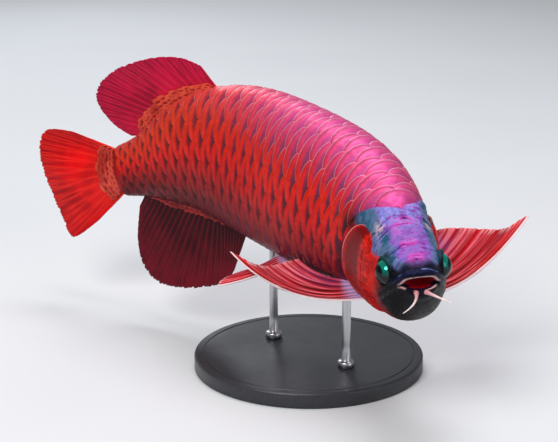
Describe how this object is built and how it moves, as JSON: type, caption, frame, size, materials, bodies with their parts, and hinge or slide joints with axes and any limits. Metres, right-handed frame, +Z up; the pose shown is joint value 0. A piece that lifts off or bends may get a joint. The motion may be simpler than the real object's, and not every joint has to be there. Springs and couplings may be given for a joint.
{
  "type": "asian arowana display model",
  "caption": "Life-size still model of a red asian arowana, swimming in a curve with spread fins, held over a round base by short rods",
  "frame": {"origin": "centre of the underside of the stand's round base, below the middle of the fish", "axes": "+Z up; the fish's head points to -Y and a little to +X, and its tail to +Y and -X; the viewer of the picture stands on the -Y side"},
  "size_m": [0.4709, 0.4193, 0.2667],
  "materials": {
    "crown_violet": "wrinkled violet and blue skin of the head with a soft sheen",
    "gill_cover_red": "saturated red plates with orange streaks and a pale rim",
    "eye_dark": "dark wet eye with a teal glint",
    "barbel_pale": "pale soft feelers",
    "scale_red": "large pink to red scales with bright rims and a metallic sheen",
    "fin_crimson": "crimson skin stretched over fine rays",
    "stand_graphite": "satin dark grey paint",
    "rod_steel": "brushed steel rod"
  },
  "bodies": {
    "root": {"head": "crown_violet", "lower_jaw": "crown_violet", "gill_cover_left": "gill_cover_red", "gill_cover_right": "gill_cover_red", "eye_left": "eye_dark", "eye_right": "eye_dark", "barbel_left": "barbel_pale", "barbel_right": "barbel_pale", "trunk_front": "scale_red", "trunk_rear": "scale_red", "tail_front": "scale_red", "tail_rear": "scale_red", "dorsal_fin": "fin_crimson", "anal_fin": "fin_crimson", "caudal_fin": "fin_crimson", "pectoral_fin_left": "fin_crimson", "pectoral_fin_right": "fin_crimson", "pelvic_fin_left": "fin_crimson", "pelvic_fin_right": "fin_crimson", "stand_base": "stand_graphite", "stand_rod_front": "rod_steel", "stand_rod_rear": "rod_steel"}
  },
  "joints": []
}
